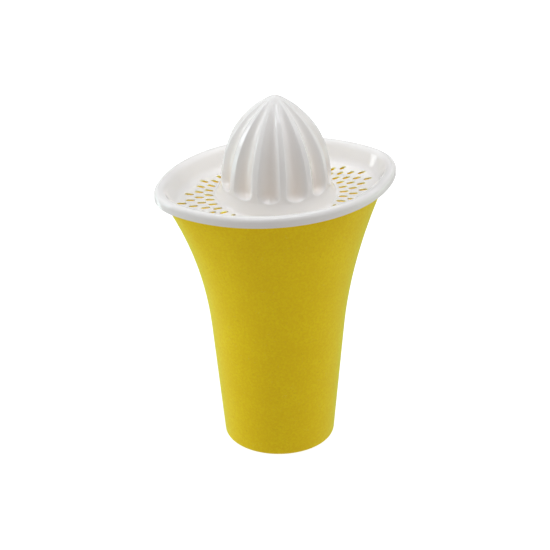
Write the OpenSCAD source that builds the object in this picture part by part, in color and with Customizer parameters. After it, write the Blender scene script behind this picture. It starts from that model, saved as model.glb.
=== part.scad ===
// Citrus juicer: a flared drinking-cup body with a lift-off strainer lid that carries the reamer.
// Millimetres, +Z up. The origin is the centre of the cup's foot, and X runs along the oval rim.

/* [Rim outline] */
// overall length of the oval rim
rim_length = 117; // [110:1:124]
// overall width of the oval rim
rim_width = 88; // [84:1:92]
// radius of the rounded ends of the oval
rim_end_radius = 24.7; // [23:0.1:27]
// height of the rim's top above the table
rim_top = 136.5; // [128:0.5:145]

/* [Cup] */
// radius of the cup at the table, before its edge is rounded
base_radius = 26.3; // [25:0.1:28]
// rounding of the cup's bottom edge
base_round = 1.8; // [1:0.1:2.4]
// growth of the round body's radius per millimetre of height
body_taper = 0.093; // [0.08:0.001:0.1]
// height where the round body starts to spread into the oval
flare_start = 57.5; // [50:0.5:65]
// how late the spread comes: higher keeps the waist longer
flare_power = 2.1; // [1.9:0.05:2.3]
// thickness of the cup's wall
cup_wall = 2.2; // [1.9:0.1:2.6]
// thickness of the cup's lip, measured level
lip_wall = 1.5; // [1.2:0.1:1.7]
// thickness of the cup's floor
cup_floor = 3.2; // [2.6:0.1:4]
// depth of the hollow under the cup
foot_recess = 1; // [0.6:0.1:1.4]
// width of the flat ring that the cup stands on
foot_width = 4; // [3:0.5:6]

/* [Lid rim and dish] */
// height of the lid's rim, which rests on the cup's lip
rim_height = 4.9; // [4.4:0.1:5.6]
// rounding of the rim's outer top edge
rim_round = 2.1; // [1.4:0.1:2.4]
// thickness of the dish's leaning wall
dish_wall = 1.1; // [0.9:0.05:1.3]
// rounding of the rim's inner top edge
rim_inner_round = 1.4; // [0.8:0.1:1.8]
// how far the rim overhangs the cup's lip
rim_overhang = 3.85; // [3.6:0.05:4]
// thickness of the rim's outer skirt beside the moulding groove
skirt_wall = 1.7; // [1.4:0.1:1.9]
// depth of the dish below the rim's top
dish_depth = 8.4; // [7.8:0.1:9]
// radius where the dish wall runs into the floor
dish_round = 2; // [1.4:0.1:2.2]
// thickness of the perforated floor
floor_thickness = 1; // [0.9:0.1:1.4]
// gap between the dish and the inside of the cup
lid_clearance = 0.3; // [0.25:0.05:0.5]

/* [Strainer slots] */
// length of a slot
slot_length = 4.1; // [3.4:0.1:4.3]
// width of a slot
slot_width = 1.8; // [1.2:0.1:2]
// number of slot rings
slot_rings = 4; // [2:1:4]
// radius of the innermost ring, to the middle of its slots
slot_ring_radius = 31.7; // [31.2:0.1:32.4]
// distance from ring to ring
slot_ring_step = 4.5; // [4.4:0.1:4.8]
// angle from slot to slot
slot_pitch = 9.17; // [8.6:0.01:10]
// angle of the first slot below the rim's long axis
slot_phase = -2.1; // [-4:0.1:4]
// turn of each ring against the one inside it
slot_stagger = -3.3; // [-4.5:0.1:-2]
// the slot field ends at this angle from the long axis
slot_field = 60; // [40:1:70]

/* [Reamer] */
// radius of the reamer at its foot, without the flare
reamer_radius = 26; // [24.5:0.1:26.4]
// height of the reamer above the dish floor
reamer_height = 49.2; // [44:0.1:54]
// roundness of the reamer's shoulder
shoulder_power = 2.84; // [2.2:0.02:3.4]
// bluntness of the reamer's tip
tip_power = 0.86; // [0.7:0.01:0.95]
// number of flutes
flutes = 12; // [8:1:16]
// depth of a flute
flute_depth = 3.1; // [2:0.1:3.6]
// turn of the flutes about the reamer's axis, from the rim's long axis
flute_turn = 2; // [0:0.5:15]
// radius of the plain tip above the flutes
tip_radius = 3; // [1.5:0.1:5]
// share of each pitch that the flute takes
flute_share = 0.68; // [0.5:0.01:0.8]
// height of the plain band below the flutes
foot_band = 6.2; // [5.4:0.1:8]
// how far the plain band spreads at the floor
foot_flare = 1.3; // [0.6:0.1:1.5]
// thickness of the reamer's wall
reamer_wall = 1.8; // [1.5:0.1:2.2]
// length of the drip edge below the dish floor
drip_edge = 0.8; // [0.5:0.1:1.2]

/* [Hidden] */
$fn = 96;
cup_yellow = [0.78, 0.66, 0.1];
lid_white = [0.94, 0.94, 0.95];

// the rim is an oval of four arcs: two ends and two long sides
end_x = rim_length / 2 - rim_end_radius;
half_width = rim_width / 2;
side_radius = (end_x ^ 2 + half_width ^ 2 - rim_end_radius ^ 2) / (2 * (half_width - rim_end_radius));
side_y = side_radius - half_width;
turn = atan2(side_y, end_x);

// the cup's outline at a height is a disc that grows upward plus a share of the oval
cup_points = 72;
lip_top = rim_top - rim_height;
lip_disc = base_radius + body_taper * lip_top;
flare_length = lip_top - flare_start;
lip_half_length = rim_length / 2 - rim_overhang;
end_slope = body_taper + flare_power * (lip_half_length - lip_disc) / flare_length;
foot_radius = base_radius - base_round;
recess_radius = foot_radius - foot_width;
inside_round = 5;
body_steps = 3;
flare_steps = 12;
round_steps = 4;
lip_zone = 8;
wall_zone = 20;

// the dish wall leans as the cup's ends do, so that it hangs in the mouth with an even gap
lean = atan(end_slope);
round_reach = tan((90 - lean) / 2);
under_inset = rim_overhang + lip_wall + lid_clearance;
rim_land = under_inset + dish_wall / cos(lean) - rim_height * end_slope;
dish_corner = rim_land + dish_depth * end_slope;
under_depth = dish_depth + floor_thickness;
under_round = dish_round + floor_thickness;
under_corner = under_inset + (under_depth - rim_height) * end_slope;
sheet_start = 0.05;
sheet_lap = 0.15;
flat_inset = max(dish_corner + dish_round * round_reach, under_corner + under_round * round_reach);
plate_inset = flat_inset + sheet_start;
sheet_inset = plate_inset + sheet_lap;
seat_margin = 0.5;
groove_depth = rim_height / 2;
groove_inset = rim_overhang - seat_margin;
arc_steps = 4;
rim_points = 72;

floor_top = rim_top - dish_depth;
floor_under = floor_top - floor_thickness;
slot_inset = sheet_inset + slot_length / 2;
slots_each_way = ceil(slot_field / slot_pitch) + slot_rings;

flute_pitch = 360 / flutes;
flute_half = flute_pitch * flute_share / 2;
flute_points = 6;
reamer_points = flutes * flute_points;
scoop_length = 5;
band_steps = 3;
scoop_steps = 4;
rib_steps = 10;
rib_crowding = 1.6;
hollow_top = reamer_height - 2 * reamer_wall;
hollow_tip = 1;
hollow_steps = 10;
hollow_crowding = 1.3;
cut_margin = 1;
hole_radius = reamer_radius + foot_flare - reamer_wall / 2;

// a point of an oval of four arcs, where the outline faces the direction a
function oval_point(a, ends, sides, end_r, side_r) =
    let (n = [cos(a), sin(a)])
    abs(n[1]) <= sin(turn) ? [sign(n[0]) * ends, 0] + end_r * n : [0, -sign(n[1]) * sides] + side_r * n;

function arc(middle, radius, from, to) =
    [for (i = [0:arc_steps]) middle + radius * [cos(from + (to - from) * i / arc_steps),
                                                sin(from + (to - from) * i / arc_steps)]];

// how far a point lies inside the rim's outline
function inset_at(x, y) =
    x > end_x && atan2(abs(y), x - end_x) < turn ? rim_end_radius - norm([x - end_x, y])
                                                 : side_radius - norm([x, abs(y) + side_y]);

function spread(z) = z <= flare_start ? 0 : ((z - flare_start) / flare_length) ^ flare_power;

// one level outline of the rim at height z, moved in by the inset d
function rim_outline(d) =
    [for (i = [0:rim_points - 1])
        oval_point(360 * i / rim_points, end_x, side_y, rim_end_radius - d, side_radius - d)];
function rim_ring(d, z) = [for (p = rim_outline(d)) [p[0], p[1], z]];

// one level outline of the cup at height z, moved in by the inset d
function cup_ring(z, d) =
    let (w = spread(z), disc = base_radius + body_taper * z)
    [for (i = [0:cup_points - 1])
        let (p = oval_point(360 * i / cup_points, w * end_x, w * side_y,
                            disc + w * (rim_end_radius - rim_overhang - lip_disc) - d,
                            disc + w * (side_radius - rim_overhang - lip_disc) - d))
        [p[0], p[1], z]];

function cup_wall_at(z) =
    let (s = min(1, max(0, (lip_top - lip_zone - z) / wall_zone)))
    lip_wall + (cup_wall - lip_wall) * s;

function flat_ring(radius, z) =
    [for (i = [0:cup_points - 1]) [radius * cos(360 * i / cup_points), radius * sin(360 * i / cup_points), z]];

// triangles between a stack of equal rings, and from the last ring back to the first where the stack is a loop
function skin_faces(points, rows, loop = false) =
    [for (j = [0:rows - (loop ? 1 : 2)]) for (i = [0:points - 1])
        let (low = j * points, high = ((j + 1) % rows) * points, k = (i + 1) % points)
        each [[low + i, high + i, high + k], [low + i, high + k, low + k]]];

// crest of the reamer's ribs, the flute's share of its depth and the flute's floor, at height h over the dish
function crest(h) =
    let (t = min(1, max(0, h / reamer_height)), f = max(0, 1 - h / foot_band))
    reamer_radius * (1 - t ^ shoulder_power) ^ tip_power + foot_flare * min(1, f) ^ 2;
function scoop(h) = let (s = min(1, max(0, (h - foot_band) / scoop_length))) sqrt(1 - (1 - s) ^ 2);
function tip_fade(h) = min(1, max(0, crest(h) / tip_radius - 1));
function flute_floor(h) = crest(h) - flute_depth * scoop(h) * tip_fade(h) * crest(h) / reamer_radius;

function reamer_ring(h) =
    [for (i = [0:reamer_points - 1])
        let (b = 360 * i / reamer_points,
             off = abs(b - flute_pitch * round(b / flute_pitch)) / flute_half,
             r = crest(h) - (crest(h) - flute_floor(h)) * max(0, 1 - off ^ 2),
             a = b + flute_turn)
        [r * cos(a), r * sin(a), floor_top + h]];

// the cup: foot ring, flared outside, flat lip and the inside down to its rounded floor
module cup() {
    inside_low = cup_floor + inside_round;
    outer_heights = concat([for (i = [1:body_steps]) base_round + (flare_start - base_round) * i / body_steps],
                           [for (i = [1:flare_steps]) flare_start + flare_length * i / flare_steps]);
    inner_heights = concat([for (i = [flare_steps:-1:1]) flare_start + flare_length * i / flare_steps],
                           [for (i = [body_steps:-1:1])
                               inside_low + (flare_start - inside_low) * i / body_steps]);
    inner_foot = base_radius + body_taper * inside_low - cup_wall - inside_round;
    rings = concat(
        [flat_ring(recess_radius - foot_recess, foot_recess), flat_ring(recess_radius, 0)],
        [for (i = [0:round_steps])
            let (a = -90 + 90 * i / round_steps)
            flat_ring(foot_radius + base_round * cos(a) + body_taper * base_round * i / round_steps,
                      base_round + base_round * sin(a))],
        [for (z = outer_heights) cup_ring(z, 0)],
        [for (z = inner_heights) cup_ring(z, cup_wall_at(z))],
        [for (i = [0:round_steps])
            let (a = -90 * i / round_steps)
            flat_ring(inner_foot + inside_round * cos(a), inside_low + inside_round * sin(a))]);
    last = len(rings) - 1;
    color(cup_yellow)
    polyhedron(
        points = [for (ring = rings) each ring],
        faces = concat(skin_faces(cup_points, len(rings)),
                       [[for (i = [0:cup_points - 1]) i]],
                       [[for (i = [cup_points - 1:-1:0]) last * cup_points + i]]));
}

// the rim and dish wall: one cross-section, as inset and drop from the rim's top, carried round the oval
module rim_sweep() {
    floor_mid = dish_corner + dish_round * round_reach;
    under_mid = under_corner + under_round * round_reach;
    section = concat(
        [[0, -rim_height]],
        arc([rim_round, -rim_round], rim_round, 180, 90),
        arc([rim_land - rim_inner_round * round_reach, -rim_inner_round], rim_inner_round, 90, lean),
        arc([floor_mid, dish_round - dish_depth], dish_round, 180 + lean, 270),
        [[sheet_inset, -dish_depth], [sheet_inset, -under_depth]],
        arc([under_mid, under_round - under_depth], under_round, 270, 180 + lean),
        [[under_inset, -rim_height], [groove_inset, -rim_height], [groove_inset, -groove_depth],
         [skirt_wall, -groove_depth], [skirt_wall, -rim_height]]);
    polyhedron(
        points = [for (p = section) each rim_ring(p[0], rim_top + p[1])],
        faces = skin_faces(rim_points, len(section), true));
}

module slot() {
    straight = (slot_length - slot_width) / 2;
    polygon(concat(arc([straight, 0], slot_width / 2, -90, 90), arc([-straight, 0], slot_width / 2, 90, 270)));
}

module slot_pattern() {
    for (ring = [0:slot_rings - 1]) for (k = [-slots_each_way:slots_each_way]) {
        radius = slot_ring_radius + ring * slot_ring_step;
        angle = slot_phase + ring * slot_stagger + k * slot_pitch;
        if (abs(angle) <= slot_field && inset_at(radius * cos(angle), radius * sin(angle)) >= slot_inset)
            rotate(angle) translate([radius, 0]) slot();
    }
}

// the perforated floor, which laps the sheet at the foot of the dish wall
module dish_floor() {
    translate([0, 0, floor_under]) linear_extrude(floor_thickness) difference() {
        polygon(rim_outline(plate_inset));
        circle(hole_radius);
        for (side = [0, 1]) mirror([side, 0]) slot_pattern();
    }
}

module reamer_body() {
    upper = reamer_height - foot_band - scoop_length;
    heights = concat(
        [-floor_thickness - drip_edge],
        [for (i = [0:band_steps]) foot_band * i / band_steps],
        [for (i = [1:scoop_steps]) foot_band + scoop_length * (1 - cos(90 * i / scoop_steps))],
        [for (i = [1:rib_steps - 1])
            foot_band + scoop_length + upper * (1 - (1 - i / rib_steps) ^ rib_crowding)]);
    rows = len(heights);
    tip = rows * reamer_points;
    polyhedron(
        points = concat([for (h = heights) each reamer_ring(h)], [[0, 0, floor_top + reamer_height]]),
        faces = concat(skin_faces(reamer_points, rows),
                       [[for (i = [0:reamer_points - 1]) i]],
                       [for (i = [0:reamer_points - 1])
                           [tip - reamer_points + i, tip, tip - reamer_points + (i + 1) % reamer_points]]));
}

// the hollow under the reamer keeps its wall even below the flutes' floors
module reamer_hollow() {
    drop = floor_thickness + drip_edge + cut_margin;
    rise = [for (i = [0:hollow_steps]) hollow_top * (1 - (1 - i / hollow_steps) ^ hollow_crowding)];
    outline = concat(
        [[0, -drop], [crest(0) - reamer_wall, -drop]],
        [for (h = rise) [max(hollow_tip, flute_floor(h + reamer_wall * h / reamer_height) - reamer_wall), h]],
        [[0, hollow_top]]);
    translate([0, 0, floor_top]) rotate_extrude() polygon(outline);
}

// the lid: rim, dish, perforated floor and fluted reamer in one moulding
module reamer_lid() {
    color(lid_white) union() {
        rim_sweep();
        dish_floor();
        difference() {
            reamer_body();
            reamer_hollow();
        }
    }
}

cup();
reamer_lid();
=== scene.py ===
import math

import bmesh
import bpy
from mathutils import Matrix, Vector


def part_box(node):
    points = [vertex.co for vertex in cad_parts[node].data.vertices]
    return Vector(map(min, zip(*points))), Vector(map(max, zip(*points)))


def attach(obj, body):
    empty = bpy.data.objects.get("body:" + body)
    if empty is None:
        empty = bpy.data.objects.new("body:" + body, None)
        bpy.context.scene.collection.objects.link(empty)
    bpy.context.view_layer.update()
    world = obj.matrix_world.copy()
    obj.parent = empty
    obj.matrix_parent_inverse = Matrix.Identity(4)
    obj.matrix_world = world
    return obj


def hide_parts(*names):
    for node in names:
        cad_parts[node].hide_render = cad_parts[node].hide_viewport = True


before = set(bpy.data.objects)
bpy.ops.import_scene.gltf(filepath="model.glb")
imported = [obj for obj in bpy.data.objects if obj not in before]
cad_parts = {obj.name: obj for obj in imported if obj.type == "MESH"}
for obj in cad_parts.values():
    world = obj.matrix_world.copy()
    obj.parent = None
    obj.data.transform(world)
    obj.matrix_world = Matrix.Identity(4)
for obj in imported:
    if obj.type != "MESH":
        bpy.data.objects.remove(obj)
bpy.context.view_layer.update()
mm = 0.001

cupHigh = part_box("cup")[1]
lidLow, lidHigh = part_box("reamer_lid")

# the rim is an oval of four arcs, two ends and two long sides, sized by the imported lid
rim = {
    "halfLength": (lidHigh.x - lidLow.x) / 2 / mm,
    "halfWidth": (lidHigh.y - lidLow.y) / 2 / mm,
    "endRadius": 24.7,
    "height": 4.9,          # from the cup's lip to the top of the rim
    "overhang": 3.85,       # the rim beyond the lip, all round
}
endX = rim["halfLength"] - rim["endRadius"]
widthLeft = rim["halfWidth"] - rim["endRadius"]
sideRadius = (endX ** 2 + rim["halfWidth"] ** 2 - rim["endRadius"] ** 2) / (2 * widthLeft)
sideY = sideRadius - rim["halfWidth"]
endTurn = math.sin(math.atan2(sideY, endX))     # sine of the angle where an end meets a side
lipTop = cupHigh.z / mm
rimTop = lipTop + rim["height"]


def ovalPoint(angle, ends, sides, endR, sideR):
    # the point of the oval that faces the direction angle
    nx, ny = math.cos(angle), math.sin(angle)
    if abs(ny) <= endTurn:
        return math.copysign(ends, nx) + endR * nx, endR * ny
    return sideR * nx, sideR * ny - math.copysign(sides, ny)


def arcPoints(middle, radius, start, end, steps):
    angles = [math.radians(start + (end - start) * i / steps) for i in range(steps + 1)]
    return [(middle[0] + radius * math.cos(a), middle[1] + radius * math.sin(a)) for a in angles]


def ringEdges(bm, ring):
    return [bm.edges.get((a, b)) for a, b in zip(ring, ring[1:] + ring[:1])]


def capRing(bm, ring):
    bmesh.ops.edgeloop_fill(bm, edges=ringEdges(bm, ring))


def growRing(bm, ring):
    # extrudes a closed ring of verts and gives the new ring in the same order
    grown = bmesh.ops.extrude_edge_only(bm, edges=ringEdges(bm, ring))["geom"]
    fresh = {part for part in grown if isinstance(part, bmesh.types.BMVert)}
    return [next(e.other_vert(v) for e in v.link_edges if e.other_vert(v) in fresh) for v in ring]


def loftRings(bm, segments, rings):
    # every ring is a function from the angle round the piece to a point in mm
    angles = [math.tau * i / segments for i in range(segments)]
    ring = list(bmesh.ops.create_circle(bm, cap_ends=False, segments=segments, radius=1)["verts"])
    capRing(bm, ring)
    for number, place in enumerate(rings):
        if number:
            ring = growRing(bm, ring)
        for vert, angle in zip(ring, angles):
            vert.co = Vector(place(angle)) * mm
    capRing(bm, ring)
    bmesh.ops.recalc_face_normals(bm, faces=bm.faces[:])


def finishPiece(bm, name, material, body, node, sharp):
    mesh = bpy.data.meshes.new(name)
    bm.to_mesh(mesh)
    bm.free()
    for face in mesh.polygons:
        face.use_smooth = True
    mesh.set_sharp_from_angle(angle=math.radians(sharp))
    mesh.materials.append(material)
    piece = bpy.data.objects.new(name, mesh)
    bpy.context.scene.collection.objects.link(piece)
    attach(piece, body)
    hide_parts(node)
    print(name, len(mesh.vertices), "verts", len(mesh.polygons), "faces")


def linear(hexColour):
    # sRGB hex to the linear colour that the shaders take
    parts = [int(hexColour[i:i + 2], 16) / 255 for i in (1, 3, 5)]
    return tuple(c / 12.92 if c <= 0.04045 else ((c + 0.055) / 1.055) ** 2.4 for c in parts) + (1.0,)


def addNode(tree, kind, settings, inputs):
    node = tree.nodes.new(kind)
    for name, value in settings.items():
        setattr(node, name, value)
    for name, value in inputs.items():
        if isinstance(value, bpy.types.NodeSocket):
            tree.links.new(value, node.inputs[name])
        else:
            node.inputs[name].default_value = value
    return node


# sockets of a colour Mix node, which share their names with its other kinds
mixShare, mixFirst, mixSecond, mixed = 0, 6, 7, 2
glossFrom, glossTo = 0.3, 0.7       # most of a noise lies between these


def newMaterial(name):
    material = bpy.data.materials.new(name)
    material.use_nodes = True
    material.node_tree.nodes.clear()
    return material, material.node_tree


# Compression-moulded bamboo fibre composite: a matt yellow body, mottled by ground fibre,
# with a few brown and pale flecks and a very fine orange-peel skin.
fibreLook = {
    "body": "#FEDD10",
    "deep": "#F7CF0A",
    "fleck": "#A87A18",
    "pale": "#FBE07A",
    "mottleMm": 1.1,        # ground fibre is finer; this is as fine as the picture shows
    "mottleFrom": 0.36,     # noise values between which body turns to deep
    "mottleTo": 0.64,
    "cloudMm": 14,
    "cloudFrom": 0.35,
    "cloudTo": 0.65,
    "cloudShare": 0.35,
    "fleckMm": 1.6,
    "fleckBend": 1.6,       # stretches the flecks, as fibres are
    "darkFrom": 0.68,       # only the highest noise makes brown flecks
    "darkTo": 0.76,
    "darkShare": 0.16,
    "paleFrom": 0.32,       # and only the lowest makes pale ones
    "paleTo": 0.25,
    "paleShare": 0.14,
    "skinMm": 0.7,
    "skinDeep": 0.08,       # mm
    "skinStrength": 0.25,
    "ior": 1.5,
    "roughness": 0.52,
    "smoother": 0.05,       # the mottle makes the skin smoother or rougher by these
    "rougher": 0.06,
    "shine": 0.15,
    "sheen": 0.46,          # the greenish bloom at the cup's edges
    "sheenRoughness": 0.4,
    "sheenTint": "#A8FF60",
}


def makeFibreComposite():
    look = fibreLook
    material, tree = newMaterial("bamboo_fibre_composite_moulded")
    coords = addNode(tree, "ShaderNodeTexCoord", {}, {}).outputs["Object"]
    mottle = addNode(tree, "ShaderNodeTexNoise", {}, {
        "Vector": coords, "Scale": 1 / (look["mottleMm"] * mm), "Detail": 3, "Roughness": 0.6})
    cloud = addNode(tree, "ShaderNodeTexNoise", {}, {
        "Vector": coords, "Scale": 1 / (look["cloudMm"] * mm), "Detail": 2, "Roughness": 0.5})
    fleck = addNode(tree, "ShaderNodeTexNoise", {}, {
        "Vector": coords, "Scale": 1 / (look["fleckMm"] * mm), "Detail": 1,
        "Distortion": look["fleckBend"]})
    skin = addNode(tree, "ShaderNodeTexNoise", {}, {
        "Vector": coords, "Scale": 1 / (look["skinMm"] * mm), "Detail": 2})
    mottleShare = addNode(tree, "ShaderNodeMapRange", {}, {
        "Value": mottle.outputs["Fac"], "From Min": look["mottleFrom"], "From Max": look["mottleTo"],
        "To Min": 0, "To Max": 1})
    cloudShare = addNode(tree, "ShaderNodeMapRange", {}, {
        "Value": cloud.outputs["Fac"], "From Min": look["cloudFrom"], "From Max": look["cloudTo"],
        "To Min": 0, "To Max": look["cloudShare"]})
    share = addNode(tree, "ShaderNodeMath", {"operation": "ADD", "use_clamp": True}, {
        0: cloudShare.outputs["Result"], 1: mottleShare.outputs["Result"]})
    ground = addNode(tree, "ShaderNodeMix", {"data_type": "RGBA"}, {
        mixShare: share.outputs["Value"], mixFirst: linear(look["body"]), mixSecond: linear(look["deep"])})
    darkShare = addNode(tree, "ShaderNodeMapRange", {}, {
        "Value": fleck.outputs["Fac"], "From Min": look["darkFrom"], "From Max": look["darkTo"],
        "To Min": 0, "To Max": look["darkShare"]})
    flecked = addNode(tree, "ShaderNodeMix", {"data_type": "RGBA"}, {
        mixShare: darkShare.outputs["Result"],
        mixFirst: ground.outputs[mixed], mixSecond: linear(look["fleck"])})
    paleShare = addNode(tree, "ShaderNodeMapRange", {}, {
        "Value": fleck.outputs["Fac"], "From Min": look["paleFrom"], "From Max": look["paleTo"],
        "To Min": 0, "To Max": look["paleShare"]})
    colour = addNode(tree, "ShaderNodeMix", {"data_type": "RGBA"}, {
        mixShare: paleShare.outputs["Result"],
        mixFirst: flecked.outputs[mixed], mixSecond: linear(look["pale"])})
    gloss = addNode(tree, "ShaderNodeMapRange", {}, {
        "Value": mottle.outputs["Fac"], "From Min": glossFrom, "From Max": glossTo,
        "To Min": look["roughness"] - look["smoother"], "To Max": look["roughness"] + look["rougher"]})
    bump = addNode(tree, "ShaderNodeBump", {}, {
        "Height": skin.outputs["Fac"], "Strength": look["skinStrength"],
        "Distance": look["skinDeep"] * mm})
    shader = addNode(tree, "ShaderNodeBsdfPrincipled", {}, {
        "Base Color": colour.outputs[mixed], "Roughness": gloss.outputs["Result"], "IOR": look["ior"],
        "Specular IOR Level": look["shine"], "Normal": bump.outputs["Normal"],
        "Sheen Weight": look["sheen"], "Sheen Roughness": look["sheenRoughness"],
        "Sheen Tint": linear(look["sheenTint"])})
    addNode(tree, "ShaderNodeOutputMaterial", {}, {"Surface": shader.outputs["BSDF"]})
    return material


# Injection-moulded white plastic: a clean glossy white that lets a little light through,
# with the faint slow waviness of a moulded skin, and a painted warm glow in the flutes.
plasticLook = {
    "white": "#F0ECE8",
    "shade": "#ECE8E4",
    "paintedGlow": "#F0E5DA",      # painted glow: a warm colour painted into the flutes for the golden light that comes through their thin walls
    "waveMm": 9,
    "waveDeep": 0.1,        # mm
    "waveStrength": 0.2,
    "toneMm": 22,
    "ior": 1.5,
    "roughness": 0.06,
    "smoother": 0.02,       # slow changes of the gloss
    "rougher": 0.03,
    "shine": 0.4,
    "glow": 0.3,            # share of the light that goes into the plastic
    "glowMm": 1.0,          # and how far it gets
}


def makeWhitePlastic():
    look = plasticLook
    material, tree = newMaterial("white_plastic_moulded")
    coords = addNode(tree, "ShaderNodeTexCoord", {}, {}).outputs["Object"]
    wave = addNode(tree, "ShaderNodeTexNoise", {}, {
        "Vector": coords, "Scale": 1 / (look["waveMm"] * mm), "Detail": 1})
    tone = addNode(tree, "ShaderNodeTexNoise", {}, {
        "Vector": coords, "Scale": 1 / (look["toneMm"] * mm), "Detail": 2})
    white = addNode(tree, "ShaderNodeMix", {"data_type": "RGBA"}, {
        mixShare: tone.outputs["Fac"], mixFirst: linear(look["white"]), mixSecond: linear(look["shade"])})
    paintedGlow = addNode(tree, "ShaderNodeAttribute", {"attribute_name": "painted_glow_share"}, {})
    # paints the flutes warmer where their walls are thin, a painted glow standing in for light through the
    # plastic
    colour = addNode(tree, "ShaderNodeMix", {"data_type": "RGBA"}, {
        mixShare: paintedGlow.outputs["Fac"], mixFirst: white.outputs[mixed], mixSecond: linear(look["paintedGlow"])})
    gloss = addNode(tree, "ShaderNodeMapRange", {}, {
        "Value": tone.outputs["Fac"], "From Min": glossFrom, "From Max": glossTo,
        "To Min": look["roughness"] - look["smoother"], "To Max": look["roughness"] + look["rougher"]})
    bump = addNode(tree, "ShaderNodeBump", {}, {
        "Height": wave.outputs["Fac"], "Strength": look["waveStrength"],
        "Distance": look["waveDeep"] * mm})
    shader = addNode(tree, "ShaderNodeBsdfPrincipled", {}, {
        "Base Color": colour.outputs[mixed], "Roughness": gloss.outputs["Result"], "IOR": look["ior"],
        "Specular IOR Level": look["shine"], "Normal": bump.outputs["Normal"],
        "Subsurface Weight": look["glow"], "Subsurface Radius": (1, 1, 1),
        "Subsurface Scale": look["glowMm"] * mm})
    addNode(tree, "ShaderNodeOutputMaterial", {}, {"Surface": shader.outputs["BSDF"]})
    return material


# the cup: a round foot that spreads into the oval, with a flat lip and a hollow under the foot
cup = {
    "segments": 240,
    "baseRadius": 26.3,
    "baseRound": 1.8,
    "taper": 0.093,         # growth of the radius per mm of height
    "flareStart": 57.5,
    "flarePower": 2.1,
    "wall": 2.2,
    "lipWall": 1.5,
    "lipWallTall": 8,       # the wall stays this thin so far below the lip
    "wallBlend": 20,        # and thickens over this height
    "lipRound": 0.4,
    "floor": 3.2,
    "insideRound": 5,
    "insideFlat": 1,        # flat ring inside that round
    "footRecess": 1,
    "footWidth": 4,
    "footEase": 0.3,        # where the recess is level again past its edge
    "footEdge": ((-0.8, 0.7), (0, 0.12), (0.3, 0)),     # that edge, out from the recess and up
    "recessFlat": 3,        # flat ring beside it
    "pole": 4,              # radius of the innermost rings, which are filled flat
    "roundSteps": 10,
    "bodySteps": 12,
    "flareSteps": 44,
    "sharp": 40,            # degrees past which an edge is shaded sharp
}
flareLength = lipTop - cup["flareStart"]
lipDisc = cup["baseRadius"] + cup["taper"] * lipTop
endSlope = cup["taper"] + cup["flarePower"] * (rim["halfLength"] - rim["overhang"] - lipDisc) / flareLength


def cupRing(z, inset):
    # level outline of the cup: a disc that grows upward plus a share of the oval
    spread = max(0, (z - cup["flareStart"]) / flareLength) ** cup["flarePower"]
    disc = cup["baseRadius"] + cup["taper"] * z - inset
    endR = disc + spread * (rim["endRadius"] - rim["overhang"] - lipDisc)
    sideR = disc + spread * (sideRadius - rim["overhang"] - lipDisc)
    return lambda a: ovalPoint(a, spread * endX, spread * sideY, endR, sideR) + (z,)


def discRing(radius, z):
    return lambda a: (radius * math.cos(a), radius * math.sin(a), z)


def cupWallAt(z):
    share = min(1, max(0, (lipTop - cup["lipWallTall"] - z) / cup["wallBlend"]))
    return cup["lipWall"] + (cup["wall"] - cup["lipWall"]) * share


def makeCup(material):
    footR = cup["baseRadius"] - cup["baseRound"]
    recessR = footR - cup["footWidth"]
    insideLow = cup["floor"] + cup["insideRound"]
    insideR = cup["baseRadius"] + cup["taper"] * insideLow - cup["wall"] - cup["insideRound"]
    soft = cup["lipRound"]
    rounds, bodySteps, flareSteps = cup["roundSteps"], cup["bodySteps"], cup["flareSteps"]
    # under the foot, from the middle out
    easeR = recessR - cup["footRecess"] - cup["footEase"]
    rings = [discRing(r, cup["footRecess"]) for r in (cup["pole"], recessR - cup["recessFlat"], easeR)]
    rings += [discRing(recessR + out, z) for out, z in cup["footEdge"]]
    # up the outside
    for r, z in arcPoints((footR, cup["baseRound"]), cup["baseRound"], -90, 0, rounds):
        rings.append(discRing(r + cup["taper"] * z, z))
    body = cup["flareStart"] - cup["baseRound"]
    rings += [cupRing(cup["baseRound"] + body * i / bodySteps, 0) for i in range(1, bodySteps + 1)]
    flare = flareLength - soft
    rings += [cupRing(cup["flareStart"] + flare * i / flareSteps, 0) for i in range(1, flareSteps + 1)]
    # over the lip and down the inside
    rings += [cupRing(lipTop - soft + d, i) for i, d in arcPoints((soft, 0), soft, 150, 90, 3)]
    inner = cup["lipWall"] - soft
    rings += [cupRing(lipTop - soft + d, inner + i) for i, d in arcPoints((0, 0), soft, 90, 0, 4)]
    for i in range(flareSteps - 1, 0, -1):
        z = cup["flareStart"] + flareLength * i / flareSteps
        rings.append(cupRing(z, cupWallAt(z)))
    for i in range(bodySteps, 0, -1):
        z = insideLow + (cup["flareStart"] - insideLow) * i / bodySteps
        rings.append(cupRing(z, cup["wall"]))
    for r, z in arcPoints((insideR, insideLow), cup["insideRound"], 0, -90, rounds):
        rings.append(discRing(r, z))
    rings += [discRing(r, cup["floor"]) for r in (insideR - cup["insideFlat"], cup["pole"])]
    bm = bmesh.new()
    loftRings(bm, cup["segments"], rings)
    finishPiece(bm, "cup_shell", material, "cup", "cup", cup["sharp"])


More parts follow.
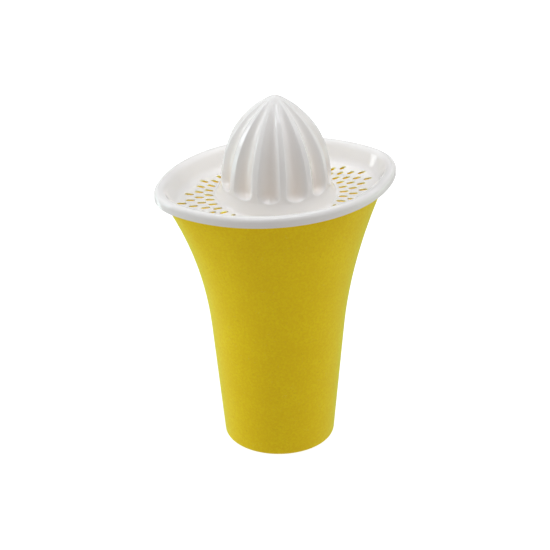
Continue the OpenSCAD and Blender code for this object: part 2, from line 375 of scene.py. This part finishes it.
# the lid: rim, dish, perforated floor and fluted reamer in one moulding
lid = {
    "segments": 480,
    "rimRound": 2.1,
    "innerRound": 3.7,
    "dishWall": 1.1,
    "skirt": 1.7,
    "edgeRound": 0.35,
    "dishDepth": 8.4,
    "dishRound": 2,
    "dishSweep": 5,         # the upper side of the same corner is rounder
    "floor": 1,
    "gap": 0.3,             # between the dish and the inside of the cup
    "seat": 0.5,            # flat of the rim outside the cup's lip
    "corner": 0.2,          # cut corners underneath
    "ease": 0.15,           # where the floor is level again past a rounded corner
    "sharp": 35,            # degrees past which an edge is shaded sharp
}
reamer = {
    "radius": 26,
    "shoulder": 2.84,
    "bluntness": 0.86,
    "tipRadius": 2.6,       # the rounded tip starts here
    "flutes": 12,
    "fluteTurn": 2.6,       # degrees
    "fluteDepth": 3.1,
    "fluteHalf": 12.5,      # degrees from a flute's middle to its edge, at the floor
    "fluteTaper": 2,        # degrees less at the tip, because the ribs narrow less than the flutes
    "fluteShape": 1.1,
    "plainTip": 3,          # radius where the flutes have run out
    "band": 6.2,            # plain band below the flutes
    "scoop": 4.6,           # length of a flute's rounded lower end
    "scoopPower": 3,        # over 2, so that the flutes keep their depth and end steeply
    "flare": 2.3,           # the band spreads to the floor by this much
    "flarePower": 1.5,
    "crease": 0.45,         # a last quick spread where the band meets the floor
    "creaseTall": 0.7,
    "footOuts": (0.25, 0.05),       # rings on the floor round the foot
    "footHeights": (0, 0.15, 0.3, 0.5, 0.7),
    "bandShares": (0.25, 0.5, 0.75),
    "scoopLead": 0.6,       # the close rings start below the scoop and end above it
    "scoopTail": 0.4,
    "scoopSteps": 20,
    "upperSteps": 34,
    "tipSteps": 6,
    "crowding": 1.5,        # rings lie closer towards the tip
    "wall": 1.8,            # behind the flutes
    "hollowSteps": 16,
    "hollowTip": 1,         # radius of the hollow's flat top
    "dripEdge": 0.3,
}
slots = {
    "segments": 20,
    "length": 4.1,
    "width": 1.65,
    "point": 1.5,           # length of a rounded end against half the width
    "tip": 0.15,            # the pointed ends run on by this much
    "rings": 4,
    "radius": 31.7,
    "step": 4.5,
    "pitch": 9.17,
    "phase": -2.1,
    "stagger": -3.3,
    "field": 60,
    "margin": 0.2,          # kept clear of the rounded corner
    "swing": 13,            # degrees from the radial direction, the other way round on the left
    "edge": 0.1,
    "draft": 1.15,          # mm wider on each side per mm of depth
    "above": 0.3,           # the cutter stands out of the floor, above and below
    "below": 0.5,
    "weld": 0.01,           # mm within which the cut's verts are merged
    "sliver": 0.005,
}
floorTop = rimTop - lid["dishDepth"]
reamerHeight = lidHigh.z / mm - floorTop
lean = math.degrees(math.atan(endSlope))        # of the dish wall, outward
roundReach = math.tan(math.radians((90 - lean) / 2))        # of a 1 mm round from its corner
underInset = rim["overhang"] + cup["lipWall"] + lid["gap"]
rimLand = underInset + lid["dishWall"] / math.cos(math.radians(lean)) - rim["height"] * endSlope
dishCorner = rimLand + lid["dishDepth"] * endSlope
underDepth = lid["dishDepth"] + lid["floor"]
underRound = lid["dishRound"] + lid["floor"]
underCorner = underInset + (underDepth - rim["height"]) * endSlope
flatInset = max(dishCorner + lid["dishRound"] * roundReach, underCorner + underRound * roundReach)


def crestProfile(t):
    # radius of the rib crests where t runs from the floor to the point of the curve
    return reamer["radius"] * (1 - t ** reamer["shoulder"]) ** reamer["bluntness"]


# the rounded tip is a ball that carries the curve on
tipFall = (reamer["tipRadius"] / reamer["radius"]) ** (1 / reamer["bluntness"])
tipShare = (1 - tipFall) ** (1 / reamer["shoulder"])
nudge = 0.002
tipSlope = (crestProfile(tipShare - nudge) - crestProfile(tipShare + nudge)) / (2 * nudge * reamerHeight)
tipAngle = math.atan(1 / tipSlope)
tipBall = reamer["tipRadius"] / math.sin(tipAngle)
curveHeight = (reamerHeight - tipBall * (1 - math.cos(tipAngle))) / tipShare


def crestAt(h):
    # the same by height above the floor, with the foot
    spreadOut = max(0, 1 - h / reamer["band"]) ** reamer["flarePower"] * reamer["flare"]
    foot = max(0, 1 - h / reamer["creaseTall"]) ** 2 * reamer["crease"]
    return crestProfile(min(tipShare, h / curveHeight)) + spreadOut + foot


def fluteAt(angle, h, crest):
    # depth of the flutes: rounded troughs whose lower ends are scooped out
    pitch = 360 / reamer["flutes"]
    off = (math.degrees(angle) - reamer["fluteTurn"] + pitch / 2) % pitch - pitch / 2
    across = off / (reamer["fluteHalf"] - reamer["fluteTaper"] * h / reamerHeight)
    along = max(0, (reamer["band"] + reamer["scoop"] - h) / reamer["scoop"])
    inside = max(0, 1 - across ** 2 - along ** reamer["scoopPower"])
    fade = min(1, max(0, crest / reamer["plainTip"] - 1))
    fade = fade * fade * (3 - 2 * fade)
    return reamer["fluteDepth"] * crest / reamer["radius"] * fade * inside ** reamer["fluteShape"]


def rimRing(inset, drop):
    def place(a):
        return ovalPoint(a, endX, sideY, rim["endRadius"] - inset, sideRadius - inset) + (rimTop + drop,)
    return place


def reamerRing(h):
    crest = crestAt(h)

    def place(a):
        r = crest - fluteAt(a, h, crest)
        return r * math.cos(a), r * math.sin(a), floorTop + h
    return place


def hollowRings():
    # down the hollow under the reamer and round the edge of its opening
    hollowTop = reamerHeight - 2 * reamer["wall"]
    steps = reamer["hollowSteps"]
    corner = lid["corner"]
    rings = []
    for i in range(steps, -1, -1):
        h = hollowTop * (1 - (1 - i / steps) ** reamer["crowding"])
        crest = crestAt(h + reamer["wall"] * h / reamerHeight)
        floorR = crest - fluteAt(math.radians(reamer["fluteTurn"]), h, crest)
        rings.append(discRing(max(reamer["hollowTip"], floorR - reamer["wall"]), floorTop + h))
    dripR = crestAt(reamer["creaseTall"])
    underside = floorTop - lid["floor"]
    dripLow = underside - reamer["dripEdge"]
    rings += [discRing(dripR - reamer["wall"] + corner, dripLow), discRing(dripR - corner, dripLow)]
    rings += [discRing(dripR, dripLow + corner), discRing(dripR, underside - corner / 2)]
    rings += [discRing(dripR + corner, underside)]
    return rings


def rimSection():
    # inset from the rim's outline and height from its top: out along the underside,
    # round the rim and back down the dish
    soft = lid["edgeRound"]
    sweep = lid["dishSweep"]
    corner = lid["corner"]
    rimLow = -rim["height"]
    grooveTop = rimLow / 2
    grooveIn = rim["overhang"] - lid["seat"]
    underMid = (underCorner + underRound * roundReach, underRound - underDepth)
    innerMid = (rimLand - lid["innerRound"] * roundReach, -lid["innerRound"])
    dishMid = (dishCorner + sweep * roundReach, sweep - lid["dishDepth"])
    section = [(flatInset + lid["ease"], -underDepth)]
    section += arcPoints(underMid, underRound, 270, 180 + lean, 8)
    section += [(underInset, rimLow)]
    section += [(grooveIn + corner, rimLow), (grooveIn, corner + rimLow)]
    section += [(grooveIn, grooveTop - corner), (grooveIn - corner, grooveTop)]
    section += [(lid["skirt"] + corner, grooveTop), (lid["skirt"], grooveTop - corner)]
    section += arcPoints((lid["skirt"] - soft, soft + rimLow), soft, 0, -90, 4)
    section += arcPoints((soft, soft + rimLow), soft, 270, 180, 4)
    section += arcPoints((lid["rimRound"], -lid["rimRound"]), lid["rimRound"], 180, 90, 12)
    section += arcPoints(innerMid, lid["innerRound"], 90, lean, 8)
    section += arcPoints(dishMid, sweep, 180 + lean, 270, 14)
    section += [(max(flatInset, dishMid[0]) + lid["ease"], -lid["dishDepth"])]
    return section


def reamerHeights():
    # closest at the foot and round the flutes' lower ends
    scoopSteps = reamer["scoopSteps"]
    upperSteps = reamer["upperSteps"]
    scoopLow = reamer["band"] - reamer["scoopLead"]
    scoopLength = reamer["scoop"] + reamer["scoopLead"] + reamer["scoopTail"]
    heights = list(reamer["footHeights"]) + [reamer["band"] * share for share in reamer["bandShares"]]
    heights += [scoopLow + scoopLength * i / scoopSteps for i in range(scoopSteps + 1)]
    low = heights[-1]
    upper = curveHeight * tipShare - low
    for i in range(1, upperSteps + 1):
        heights.append(low + upper * (1 - (1 - i / upperSteps) ** reamer["crowding"]))
    return heights


def lidRings():
    rings = hollowRings()
    rings += [rimRing(inset, drop) for inset, drop in rimSection()]
    rings += [discRing(crestAt(0) + out, floorTop) for out in reamer["footOuts"]]
    rings += [reamerRing(h) for h in reamerHeights()]
    for i in range(1, reamer["tipSteps"] + 1):
        a = tipAngle * (1 - i / (reamer["tipSteps"] + 0.5))     # stops just short of the point
        z = lidHigh.z / mm - tipBall * (1 - math.cos(a))
        rings.append(discRing(tipBall * math.sin(a), z))
    return rings


def insetAt(x, y):
    # how far a point lies inside the rim's outline
    if math.atan2(abs(y), x - endX) < math.asin(endTurn):
        return rim["endRadius"] - math.hypot(x - endX, y)
    return sideRadius - math.hypot(x, abs(y) + sideY)


def slotPlaces():
    places = []
    reach = int(slots["field"] / slots["pitch"]) + slots["rings"] + 1
    inside = flatInset + slots["margin"] + slots["length"] / 2
    for ring in range(slots["rings"]):
        radius = slots["radius"] + ring * slots["step"]
        for k in range(-reach, reach + 1):
            angle = slots["phase"] + ring * slots["stagger"] + k * slots["pitch"]
            x = radius * math.cos(math.radians(angle))
            y = radius * math.sin(math.radians(angle))
            if abs(angle) <= slots["field"] and insetAt(x, y) >= inside:
                turn = math.radians(angle + slots["swing"])
                places.append((x, y, turn))
                places.append((-x, y, math.pi - turn))
    return places


def slotRing(middle, grown, widened, z):
    # level outline of one slot, longer and wider than it is at its waist
    x, y, turn = middle
    end = slots["point"] * slots["width"] / 2
    straight = slots["length"] / 2 + slots["tip"] + grown - end
    half = slots["width"] / 2 + widened

    def place(a):
        a += math.pi / slots["segments"]        # no vert in the middle of a long side
        u = math.copysign(straight, math.cos(a)) + end * math.cos(a)
        v = half * math.sin(a)
        slotX = x + u * math.cos(turn) - v * math.sin(turn)
        slotY = y + u * math.sin(turn) + v * math.cos(turn)
        return slotX, slotY, z
    return place


def makeSlotCutter():
    # slots with a broken upper edge, wider underneath so that pulp falls through
    bm = bmesh.new()
    waist = floorTop - slots["edge"]
    low = floorTop - lid["floor"] - slots["below"]
    grown = slots["edge"] + slots["above"]
    for middle in slotPlaces():
        loftRings(bm, slots["segments"], [
            slotRing(middle, 0, slots["draft"] * (waist - low), low),
            slotRing(middle, 0, 0, waist),
            slotRing(middle, grown, grown, waist + grown)])
    mesh = bpy.data.meshes.new("slot_cutter")
    bm.to_mesh(mesh)
    bm.free()
    cutter = bpy.data.objects.new("slot_cutter", mesh)
    bpy.context.scene.collection.objects.link(cutter)
    return cutter


def cutSlots(bm):
    # gives the lid's mesh with the slots cut
    mesh = bpy.data.meshes.new("lid_blank")
    bm.to_mesh(mesh)
    bm.free()
    blank = bpy.data.objects.new("lid_blank", mesh)
    bpy.context.scene.collection.objects.link(blank)
    cutter = makeSlotCutter()
    cut = blank.modifiers.new("slots", "BOOLEAN")
    cut.operation = "DIFFERENCE"
    cut.solver = "EXACT"
    cut.object = cutter
    done = bmesh.new()
    done.from_object(blank, bpy.context.evaluated_depsgraph_get())
    for helper in (blank, cutter):
        data = helper.data
        bpy.data.objects.remove(helper)
        bpy.data.meshes.remove(data)
    bmesh.ops.remove_doubles(done, verts=done.verts[:], dist=slots["weld"] * mm)
    bmesh.ops.dissolve_degenerate(done, edges=done.edges[:], dist=slots["sliver"] * mm)
    print("slots cut:", len(slotPlaces()))
    return done


def markPaintedGlow(bm):
    # painted glow: how much warm colour is painted on, by how much of the ribs' thickness is missing in
    # the flutes, less towards the tip
    layer = bm.verts.layers.float.new("painted_glow_share")
    for vert in bm.verts:
        h = vert.co.z / mm - floorTop
        r = math.hypot(vert.co.x, vert.co.y) / mm
        if 0 < h < tipShare * curveHeight:
            missing = min(1, max(0, (crestAt(h) - r) / reamer["fluteDepth"]))
            vert[layer] = missing * (1 - h / reamerHeight)


def makeLid(material):
    bm = bmesh.new()
    loftRings(bm, lid["segments"], lidRings())
    bm = cutSlots(bm)
    markPaintedGlow(bm)
    finishPiece(bm, "lid_shell", material, "lid", "reamer_lid", lid["sharp"])


# plain white floor, soft boxes round it, and the camera of the photograph
studio = {
    "azimuth": -19.71,      # degrees
    "elevation": 27.67,
    "distance": 1.275,      # m
    "sensor": 36,
    "lens": 175.5,
    "clipStart": 0.01,
    "roll": 0.92,           # degrees
    "aimRight": -1.2,       # mm
    "aimUp": 84.29,
    "floorSize": 8,         # m
    "floorCells": 8,
    "floorWhite": "#9C9C9C",
    "floorRoughness": 0.9,
    "floorGlow": 0.9,       # a lit backdrop, so that the floor stays white with hardly a shadow
    "white": "#FFFFFF",
    "worldBelow": 0.64,     # brighter below, as over a white surface
    "worldAbove": 0.28,
    "worldBlend": 0.25,     # half of the band, by height, over which one turns to the other
    # name: turn from the camera's side, height, distance, width, tall, brightness, colour
    "boxes": {
        "left_box": (-97, 25, 1.0, 0.30, 0.32, 6.0, "#F4F9FF"),
        "left_low": (-91, 0, 1.0, 0.34, 0.40, 2.4, "#DCFFFF"),
        "left_wide": (-105, 38, 0.9, 0.9, 0.9, 0.82, "#F6FAFF"),
        "left_table": (-128, -12, 1.0, 0.3, 0.6, 1.9, "#ECFFFF"),
        "right_box": (98, 40, 0.9, 0.6, 0.9, 1.25, "#F8FBFF"),
        "right_table": (105, -14, 0.9, 0.6, 0.3, 1.4, "#E8FFE8"),
        "overhead": (20, 78, 1.2, 0.7, 0.5, 4.55, "#F4F9FF"),
        "back_wall": (180, 2, 1.0, 2.2, 0.9, 0.4, "#FFFFFF"),
        "back_top": (165, 60, 1.0, 0.9, 0.6, 1.0, "#F0F7FF"),
    },
    "noShine": ("back_wall",),      # fills the far side but leaves the outlines clear of white
    # a small lamp in the cup gives the slots the golden shine of the lit yellow inside
    "cupGlow": {"height": 93, "across": 50, "brightness": 2.55, "colour": "#E4F02C"},
}


def makeFloor():
    bm = bmesh.new()
    cells = studio["floorCells"]
    bmesh.ops.create_grid(bm, x_segments=cells, y_segments=cells, size=studio["floorSize"] / 2)
    mesh = bpy.data.meshes.new("studio_floor")
    bm.to_mesh(mesh)
    bm.free()
    material, tree = newMaterial("matt_white_paper")
    shader = addNode(tree, "ShaderNodeBsdfPrincipled", {}, {
        "Base Color": linear(studio["floorWhite"]), "Roughness": studio["floorRoughness"],
        "Specular IOR Level": 0,
        "Emission Color": linear(studio["white"]), "Emission Strength": studio["floorGlow"]})
    addNode(tree, "ShaderNodeOutputMaterial", {}, {"Surface": shader.outputs["BSDF"]})
    mesh.materials.append(material)
    floor = bpy.data.objects.new("studio_floor", mesh)
    bpy.context.scene.collection.objects.link(floor)
    floor.visible_diffuse = False       # a backdrop only: it throws no light up at the juicer
    floor.visible_glossy = False
    floor.visible_shadow = False        # the table boxes shine up through it


def towards(turn, height):
    # direction at an angle round from the camera's side and a height in degrees
    a = math.radians(studio["azimuth"] + turn)
    e = math.radians(height)
    return Vector((math.sin(a) * math.cos(e), -math.cos(a) * math.cos(e), math.sin(e)))


def hangLamp(lamp, colour, place, facing):
    # the camera sees the light of a lamp but not the lamp
    lamp.color = linear(colour)[:3]
    light = bpy.data.objects.new(lamp.name, lamp)
    bpy.context.scene.collection.objects.link(light)
    light.location = place
    light.rotation_euler = facing
    light.visible_camera = False
    return light


def makeBoxes():
    aim = Vector((0, 0, studio["aimUp"] * mm))
    for name, (turn, height, distance, width, tall, brightness, colour) in studio["boxes"].items():
        lamp = bpy.data.lights.new(name, "AREA")
        lamp.shape = "RECTANGLE"
        lamp.size = width
        lamp.size_y = tall
        lamp.energy = brightness * math.pi * width * tall       # watts that give the box this brightness
        place = aim + towards(turn, height) * distance
        light = hangLamp(lamp, colour, place, (aim - place).to_track_quat("-Z", "Y").to_euler())
        light.visible_glossy = name not in studio["noShine"]


def makeCupGlow():
    glow = studio["cupGlow"]
    lamp = bpy.data.lights.new("cup_glow", "AREA")
    lamp.shape = "DISK"
    lamp.size = glow["across"] * mm
    lamp.energy = glow["brightness"] * (math.pi * glow["across"] * mm / 2) ** 2
    hangLamp(lamp, glow["colour"], (0, 0, glow["height"] * mm), (math.pi, 0, 0))        # faces up


def makeWorld():
    world = bpy.data.worlds.new("studio")
    world.use_nodes = True
    world.node_tree.nodes.clear()
    tree = world.node_tree
    coords = addNode(tree, "ShaderNodeTexCoord", {}, {}).outputs["Generated"]
    up = addNode(tree, "ShaderNodeSeparateXYZ", {}, {"Vector": coords}).outputs["Z"]
    sky = addNode(tree, "ShaderNodeMapRange", {}, {
        "Value": up, "From Min": -studio["worldBlend"], "From Max": studio["worldBlend"],
        "To Min": studio["worldBelow"], "To Max": studio["worldAbove"]})
    glow = addNode(tree, "ShaderNodeBackground", {}, {
        "Color": linear(studio["white"]), "Strength": sky.outputs["Result"]})
    addNode(tree, "ShaderNodeOutputWorld", {}, {"Surface": glow.outputs["Background"]})
    bpy.context.scene.world = world


def makeCamera():
    a = math.radians(studio["azimuth"])
    back = towards(0, studio["elevation"])
    right = Vector((math.cos(a), math.sin(a), 0))
    up = back.cross(right)
    roll = math.radians(studio["roll"])
    aim = right * studio["aimRight"] * mm + Vector((0, 0, studio["aimUp"] * mm))
    sideways = right * math.cos(roll) - up * math.sin(roll)
    upward = right * math.sin(roll) + up * math.cos(roll)
    turned = Matrix((sideways, upward, back)).transposed().to_4x4()
    data = bpy.data.cameras.new("camera")
    data.sensor_width = studio["sensor"]
    data.lens = studio["lens"]
    data.clip_start = studio["clipStart"]
    camera = bpy.data.objects.new("camera", data)
    bpy.context.scene.collection.objects.link(camera)
    camera.matrix_world = Matrix.Translation(aim + back * studio["distance"]) @ turned
    bpy.context.scene.camera = camera


makeCamera()
makeFloor()
makeBoxes()
makeCupGlow()
makeWorld()
print("studio ready")
makeCup(makeFibreComposite())
makeLid(makeWhitePlastic())
bpy.context.scene.view_settings.view_transform = "Standard"
